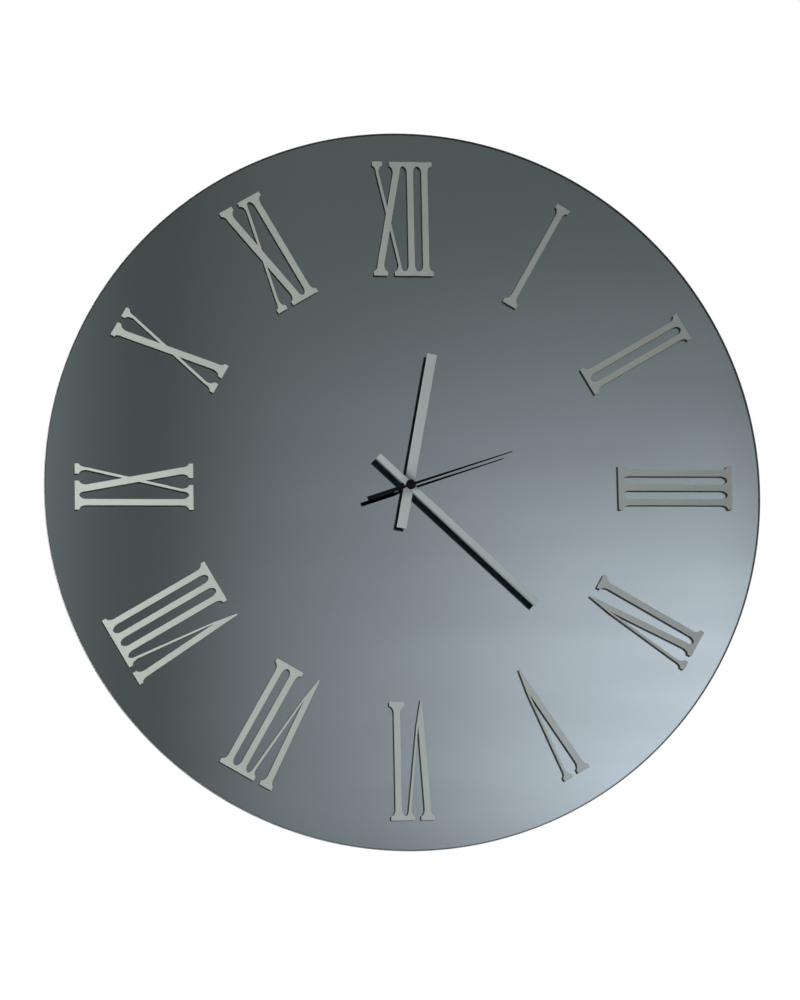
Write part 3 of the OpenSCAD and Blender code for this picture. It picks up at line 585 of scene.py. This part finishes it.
def blackFinish(name, look):
    g = newFinish(name)
    drift = g.noise(look["drift"])
    pimple = g.noise(look["grain"], 2.0)
    return g.coat(baseColor=g.tint(drift * 0.5 + pimple * 0.5, look["dark"], look["light"]),
                  roughness=g.even(drift, *look["rough"]), specularIorLevel=look["shine"],
                  normal=g.bump(pimple, look["depth"]))


def makeHands():
    edge, back = paintedShadeCutEdgeFinish("handEdge", hands), plainFinish("handBack", handBack)
    for name, angle in hands["angles"].items():
        mesh = meshOf(copyOf(name + "_hand"), name + "Hand")
        frontFirst(mesh)
        # faces turned away from the viewer take the third finish, a dark colour that is painted shade
        for face in mesh.polygons:
            if face.normal.y > meshing["facing"]:
                face.material_index = 2   # the back
        front = paleFinish(name + "HandPaint", hands, angle)
        piece = setPiece(name + "Hand", mesh, [front, edge, back], name, "hand_paint", name + "_hand")
        easeEdges(piece, hands["ease"])
    mesh = meshOf(copyOf("second_hand"), "secondHand")
    coat = blackFinish("secondHandPaint", strip)
    piece = setPiece("secondHand", mesh, [coat], "second", "second_paint", "second_hand")
    easeEdges(piece, hands["ease"])
    mesh = meshOf(copyOf("second_cap"), "secondCap", cap["sharp"])
    piece = setPiece("secondCap", mesh, [blackFinish("capPlastic", cap)], "second", "cap_plastic", "second_cap")
    easeEdges(piece, cap["ease"], cap["easeSteps"])


makeHands()
print("hands made")

# rubber bumpers: one moulded puck, set four times around the board; the dish is radii and depths
bumper = {"count": 4, "ring": 0.198, "start": math.radians(45), "steps": 48, "radius": 0.010, "height": 0.00399,
          "round": 0.0014, "roundSteps": 6, "lip": 0.0004, "lipSpan": (0.0003, 0.0007),
          "dish": ((0.0035, 0), (0.003, 0.0006), (0, 0.0008)),
          "light": rgb(0.035, 0.035, 0.036), "dark": rgb(0.018, 0.018, 0.019),
          "mottle": 90.0, "grain": 2200.0, "rough": (0.62, 0.8), "depth": 3e-5}


def makeBumpers():
    b, radius, height, foot = bumper, bumper["radius"], bumper["height"], bumper["radius"] - bumper["lip"]
    turns = [math.radians(90 / b["roundSteps"] * i) for i in range(b["roundSteps"] + 1)]
    arc = [(radius - b["round"] * (1 - math.cos(t)), height - b["round"] * (1 - math.sin(t))) for t in turns]
    dish = [(across, height - depth) for across, depth in b["dish"]]
    lipFrom, lipTo = b["lipSpan"]
    puck = lathe([(0, 0), (foot, 0), (foot, lipFrom), (radius, lipTo)] + arc + dish, b["steps"])
    tree = GeoTree("wallBumpers", count=b["count"], ring=b["ring"])
    spots = tree.geo("MeshCircle", None, {"Vertices": tree.size("count"), "Radius": tree.size("ring")})[0]
    spots = tree.move(spots, rotation=(0, 0, b["start"]))
    spots = tree.move(spots, rotation=(math.pi / 2, 0, 0),
                      translation=(dialCentre.x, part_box("wall_bumpers")[0].y, dialCentre.z))
    pucks = tree.repeat(spots, tree.part(meshOf(puck, "puck")))
    coat = plainFinish("bumperRubber", bumper)
    setPiece("wallBumpers", tree.mesh(pucks, coat), [coat], "clock", "bumper_rubber", "wall_bumpers")


makeBumpers()
print("bumpers made")

# hanger screws: pan heads with a slot, a cut thread and a point; the pan is shares of head and rise
screw = {"count": 2, "first": -0.021, "step": 0.050, "steps": 40, "head": 0.0032, "rise": 0.0018,
         "pan": ((0, 1), (0.6, 1), (0.84, 0.88), (0.96, 0.6), (1, 0.25), (1, 0)),
         "slot": 0.0009, "slotDepth": 0.0008, "slotReach": 0.008, "neck": 0.0016, "neckEnd": 0.0015,
         "core": 0.0012, "coreStart": 0.0018, "point": 0.0016, "length": 0.011,
         "turns": 7.5, "threadStart": 0.0017, "threadLength": 0.0082, "crest": 0.00038, "turnSteps": 28, "sides": 3,
         "light": rgb(0.62, 0.60, 0.55), "dark": rgb(0.50, 0.48, 0.44),
         "drawn": (1500, 1500, 1500), "rough": (0.22, 0.38)}


def makeScrews():
    s = screw
    pan = [(s["head"] * across, s["rise"] * up) for across, up in s["pan"]]
    shank = [(s["neck"], 0), (s["neck"], -s["neckEnd"]), (s["core"], -s["coreStart"]),
             (s["core"], s["point"] - s["length"]), (0, -s["length"])]
    blank = meshOf(lathe(pan + shank, s["steps"]), "screwBlank")
    tree = GeoTree("hangerScrews", count=s["count"], turns=s["turns"], core=s["core"], crest=s["crest"],
                   threadLength=s["threadLength"], slot=s["slot"])
    room = tree.along(s["slotReach"], 2 * s["slotDepth"], tree.size("slot"))
    cutter = tree.move(tree.geo("MeshCube", None, {"Size": room})[0], translation=(0, s["rise"], 0))
    head = tree.geo("MeshBoolean", {"operation": "DIFFERENCE"}, {"Mesh 1": tree.part(blank), "Mesh 2": cutter})[0]
    helix = tree.helix(s["turnSteps"], tree.size("turns"), tree.size("threadLength"), tree.size("core"))
    thread = tree.move(tree.wire(helix, tree.size("crest"), s["sides"]), rotation=(math.pi / 2, 0, 0),
                       translation=(0, -s["threadStart"], 0))
    spots = tree.geo("MeshLine", None, {"Count": tree.size("count"), "Start Location": (0, 0, s["first"]),
                                        "Offset": (0, 0, s["step"])})[0]
    pair = tree.repeat(spots, tree.join(head, thread))
    coat = steelFinish("screwSteel", screw)
    setPiece("hangerScrews", tree.mesh(pair, coat), [coat], "clock", "screw_steel", "hanger_screws")


makeScrews()
print("screws made")

# the winding: one visible layer of enamelled wire over the layers below it
winding = {"wire": 0.00006, "turns": 96.0, "outer": 0.0032, "inner": 0.00195,
           "steps": 48, "turnSteps": 24, "sides": 6, "light": rgb(0.66, 0.27, 0.11), "dark": rgb(0.50, 0.17, 0.06),
           "drawn": (900, 60, 60), "rough": (0.28, 0.4)}


def makeWinding():
    w, wire, radius = winding, winding["wire"], winding["outer"] - winding["wire"]
    low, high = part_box("coil_winding")
    span, axis = high.x - low.x, Vector((low.x, (low.y + high.y) / 2, (low.z + high.z) / 2))
    core = lathe([(w["inner"], 0), (radius, 0), (radius, span), (w["inner"], span)], w["steps"],
                 Vector((1, 0, 0)), axis)
    tree = GeoTree("coilWinding", turns=w["turns"], wire=wire, radius=radius, span=span - 2 * wire)
    helix = tree.helix(w["turnSteps"], tree.size("turns"), tree.size("span"), tree.size("radius"))
    layer = tree.move(tree.wire(helix, tree.size("wire"), w["sides"]), rotation=(0, math.pi / 2, 0),
                      translation=(axis.x + wire, axis.y, axis.z))
    whole = tree.join(tree.part(meshOf(core, "lowerLayers")), layer)
    coat = steelFinish("windingCopper", winding)
    setPiece("coilWinding", tree.mesh(whole, coat), [coat], "clock", "winding_copper", "coil_winding")


makeWinding()
print("winding made")

# the cell: a plain sleeve shrunk over a steel can; foot and crown are radii and places of the crimped ends
cell = {"radius": 0.00715, "nub": 0.00275, "nubRise": 0.0013, "nubFrom": 0.0001, "nubEase": (0.0003, 0.00025),
        "foot": ((0, 0), (0.0048, 0), (0.0051, 0.00025), (0.0056, 0.0003), (0.0058, 0.0001), (0.0065, 0.00005),
                 (0.0070, 0.0003)), "wall": (0.0007, -0.0008),
        "crown": ((0.0070, -0.0003), (0.0065, 0), (0.0060, -0.00005), (0.0057, -0.0004), (0.0036, -0.0004),
                  (0.0033, -0.0002)), "sleeveFrom": 0.0059, "steps": 64, "sharp": 25,
        "light": rgb(0.060, 0.085, 0.105), "dark": rgb(0.045, 0.066, 0.084),
        "mottle": 60.0, "grain": 1800.0, "rough": (0.24, 0.38), "depth": 4e-6}
cellSteel = {"light": rgb(0.70, 0.69, 0.67), "dark": rgb(0.58, 0.57, 0.55), "drawn": (700, 700, 700),
             "rough": (0.22, 0.38)}


def makeCell():
    low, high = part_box("battery_cell")
    c, tail, tip, shoulder = cell, low.x, high.x, high.x - cell["nubRise"]
    wallFrom, wallTo = c["wall"]
    across, down = c["nubEase"]
    profile = [(radius, tail + spot) for radius, spot in c["foot"]]
    profile += [(c["radius"], tail + wallFrom), (c["radius"], shoulder + wallTo)]
    profile += [(radius, shoulder + spot) for radius, spot in c["crown"]]
    profile += [(c["nub"], shoulder + c["nubFrom"]), (c["nub"], tip - down), (c["nub"] - across, tip), (0, tip)]
    axis = Vector((0, (low.y + high.y) / 2, (low.z + high.z) / 2))
    mesh = meshOf(lathe(profile, c["steps"], Vector((1, 0, 0)), axis), "batteryCell", c["sharp"])
    for face in mesh.polygons:
        away = face.center - axis
        face.material_index = 0 if math.hypot(away.y, away.z) > c["sleeveFrom"] else 1
    coats = [plainFinish("cellSleeve", cell), steelFinish("cellSteel", cellSteel)]
    setPiece("batteryCell", mesh, coats, "clock", "cell_sleeve", "battery_cell")


makeCell()
print("cell made")

# the board: pressed fibre, smooth on its faces and open on its edge; turn is the fibres' lie in radians
board = {"ease": 0.0003, "fibre": (1300, 900, 700), "cross": (800, 900, 1500), "fleck": (0.6, 0.72),
         "dust": 3200.0, "cloud": 16.0, "span": (0.36, 0.64), "shine": 0.3}
boardFace = {"light": rgb(0.45, 0.33, 0.21), "dark": rgb(0.36, 0.25, 0.15), "rough": (0.6, 0.78), "depth": 2e-5,
             "turn": 0.6}
boardEdge = {"light": rgb(0.36, 0.24, 0.14), "dark": rgb(0.23, 0.15, 0.085), "rough": (0.8, 0.95), "depth": 9e-5,
             "turn": 1.1}


def fibreFinish(name, look):
    g = newFinish(name)
    fibre, other = (g.noise(1.0, 4.0, 0.7, stretch=board[key], turn=(0, turn, 0))
                    for key, turn in (("fibre", look["turn"]), ("cross", -look["turn"])))
    fleck = g.fit(other, *board["fleck"])   # a few pale fibres lie on the surface
    dust = g.noise(board["dust"], 2.0)
    cloud = g.noise(board["cloud"], 4.0)
    mask = g.fit(fibre * 0.35 + dust * 0.3 + cloud * 0.35, *board["span"]) * 0.85 + fleck * 0.15
    return g.coat(baseColor=g.tint(mask, look["dark"], look["light"]), roughness=g.even(dust, *look["rough"]),
                  specularIorLevel=board["shine"], normal=g.bump(fibre * 0.6 + dust * 0.4, look["depth"]))


def makeBoard():
    mesh = meshOf(copyOf("backing_board"), "backingBoard")
    facesFirst(mesh)
    coats = [fibreFinish("boardFace", boardFace), fibreFinish("boardEdge", boardEdge)]
    piece = setPiece("backingBoard", mesh, coats, "clock", "board_fibre", "backing_board")
    easeEdges(piece, board["ease"])


makeBoard()
print("board made")

# finishes of the other solids
plastic = {"mottle": 45.0, "grain": 2600.0, "rough": (0.42, 0.56), "depth": 1.6e-5}
looks = {
    "casePlastic": {"light": rgb(0.028, 0.028, 0.029), "dark": rgb(0.018, 0.018, 0.019), **plastic},
    "coverPlastic": {"light": rgb(0.032, 0.032, 0.033), "dark": rgb(0.021, 0.021, 0.022), **plastic},
    "knobPlastic": {"light": rgb(0.06, 0.06, 0.06), "dark": rgb(0.04, 0.04, 0.04), **plastic},
    "colletPlastic": {"light": rgb(0.05, 0.05, 0.05), "dark": rgb(0.03, 0.03, 0.03), **plastic},
    "bobbinPlastic": {"light": rgb(0.50, 0.49, 0.45), "dark": rgb(0.42, 0.41, 0.37), **plastic},
    "gearPlastic": {"light": rgb(0.70, 0.68, 0.61), "dark": rgb(0.60, 0.58, 0.52), **plastic},
    "chipResin": {"light": rgb(0.025, 0.025, 0.027), "dark": rgb(0.012, 0.012, 0.013),
                  "mottle": 500.0, "grain": 6000.0, "rough": (0.5, 0.7), "depth": 1e-5},
    "rotorMagnet": {"light": rgb(0.12, 0.12, 0.125), "dark": rgb(0.07, 0.07, 0.073), "metal": 0.4,
                    "mottle": 900.0, "grain": 7000.0, "rough": (0.45, 0.65), "depth": 8e-6},
}
metals = {
    "hangerSteel": {"light": rgb(0.66, 0.67, 0.68), "dark": rgb(0.52, 0.53, 0.55),
                    "drawn": (1100, 1100, 40), "rough": (0.28, 0.46)},
    "contactSteel": {"light": rgb(0.72, 0.70, 0.66), "dark": rgb(0.60, 0.58, 0.54),
                     "drawn": (60, 60, 2400), "rough": (0.18, 0.3)},
    "crystalCan": {"light": rgb(0.72, 0.72, 0.71), "dark": rgb(0.62, 0.62, 0.61),
                   "drawn": (80, 3200, 3200), "rough": (0.16, 0.28)},
    "statorIron": {"light": rgb(0.42, 0.42, 0.43), "dark": rgb(0.30, 0.30, 0.31),
                   "drawn": (2400, 90, 90), "rough": (0.3, 0.5)},
    "gearBrass": {"light": rgb(0.76, 0.58, 0.27), "dark": rgb(0.64, 0.46, 0.19),
                  "drawn": (2600, 200, 2600), "rough": (0.2, 0.34)},
}
foam = {"light": rgb(0.72, 0.72, 0.70), "dark": rgb(0.58, 0.58, 0.56), "pores": 1700.0, "cloud": 200.0,
        "span": (0.1, 0.6), "rough": (0.75, 0.9), "depth": 8e-5}
laminate = {"base": rgb(0.045, 0.13, 0.06), "track": rgb(0.085, 0.21, 0.09), "tracks": 900.0, "gap": (0.26, 0.3),
            "areas": 420.0, "border": (0.49, 0.51), "weave": 5000.0, "rough": (0.3, 0.45), "depth": 1.2e-5}


def foamFinish():
    g = newFinish("foamTape")
    pores = g.cells(foam["pores"])
    cloud = g.noise(foam["cloud"])
    return g.coat(baseColor=g.tint(g.fit(pores * 0.7 + cloud * 0.3, *foam["span"]), foam["dark"], foam["light"]),
                  roughness=g.even(cloud, *foam["rough"]), normal=g.bump(pores, foam["depth"]))


def laminateFinish():
    # copper tracks under a green mask, running along or across by areas
    g = newFinish("circuitLaminate")
    spot = g.place(stretch=(laminate["tracks"],) * 3)
    along, across = (g.fit(way.math("PINGPONG", way, 0.5), *laminate["gap"])
                     for way in (g.axis(spot, "X"), g.axis(spot, "Z")))
    area = g.fit(g.noise(laminate["areas"], 0.0), *laminate["border"])
    track = area * along + (1 - area) * across
    weave = g.noise(laminate["weave"], 2.0)
    return g.coat(baseColor=g.tint(track, laminate["base"], laminate["track"]),
                  roughness=g.even(weave, *laminate["rough"]),
                  normal=g.bump(track + weave * 0.15, laminate["depth"]))


# solids shown as built, with their edges eased: finish, slot, easing and the nodes by the body they ride on
solids = (
    ("casePlastic", "case_plastic", 0.00012, {"clock": "movement_case"}),
    ("coverPlastic", "cover_plastic", 0.00012, {"clock": "movement_cover"}),
    ("knobPlastic", "knob_plastic", 0.00012, {"knob": "setting_knob"}),
    ("colletPlastic", "collet_plastic", 0.00006, {"hour": "hour_collet", "minute": "minute_collet"}),
    ("bobbinPlastic", "bobbin_plastic", 0.00006, {"clock": "coil_bobbin"}),
    ("gearPlastic", "gear_plastic", 0.00003, {"intermediate": "intermediate_wheel", "second": "seconds_wheel",
                                              "third": "third_wheel", "motion": "motion_wheel",
                                              "hour": "hour_wheel"}),
    ("gearBrass", "gear_brass", 0.00003, {"minute": "centre_wheel cannon_pinion"}),
    ("chipResin", "chip_resin", 0.00008, {"clock": "clock_chip"}),
    ("rotorMagnet", "rotor_magnet", 0.00003, {"rotor": "rotor"}),
    ("hangerSteel", "hanger_steel", 0.0002, {"clock": "hanger_plate"}),
    ("contactSteel", "contact_steel", 0.00005, {"clock": "contact_plus contact_minus"}),
    ("crystalCan", "crystal_can", 0.00012, {"clock": "quartz_crystal"}),
    ("statorIron", "stator_iron", 0.00004, {"clock": "stator coil_core"}),
    ("foamTape", "foam_tape", 0.00005, {"clock": "mirror_tape movement_pad"}),
    ("circuitLaminate", "circuit_laminate", 0.00005, {"clock": "circuit_board"}),
)
# the case's corner posts touch its walls along a line, where the easing runs out to nothing
pinches = {"movement_case": 1e-5}


def makeSolids():
    for finish, slot, ease, riders in solids:
        if finish in looks:
            coat = plainFinish(finish, looks[finish])
        elif finish in metals:
            coat = steelFinish(finish, metals[finish])
        else:
            coat = foamFinish() if finish == "foamTape" else laminateFinish()
        for body, names in riders.items():
            for name in names.split():
                first, *rest = name.split("_")
                title = first + "".join(word.title() for word in rest)
                piece = setPiece(title + "Shape", meshOf(copyOf(name), title), [coat], body, slot, name)
                easeEdges(piece, ease)
                if name in pinches:
                    joinPinches(piece, pinches[name])


makeSolids()
print("other solids made")
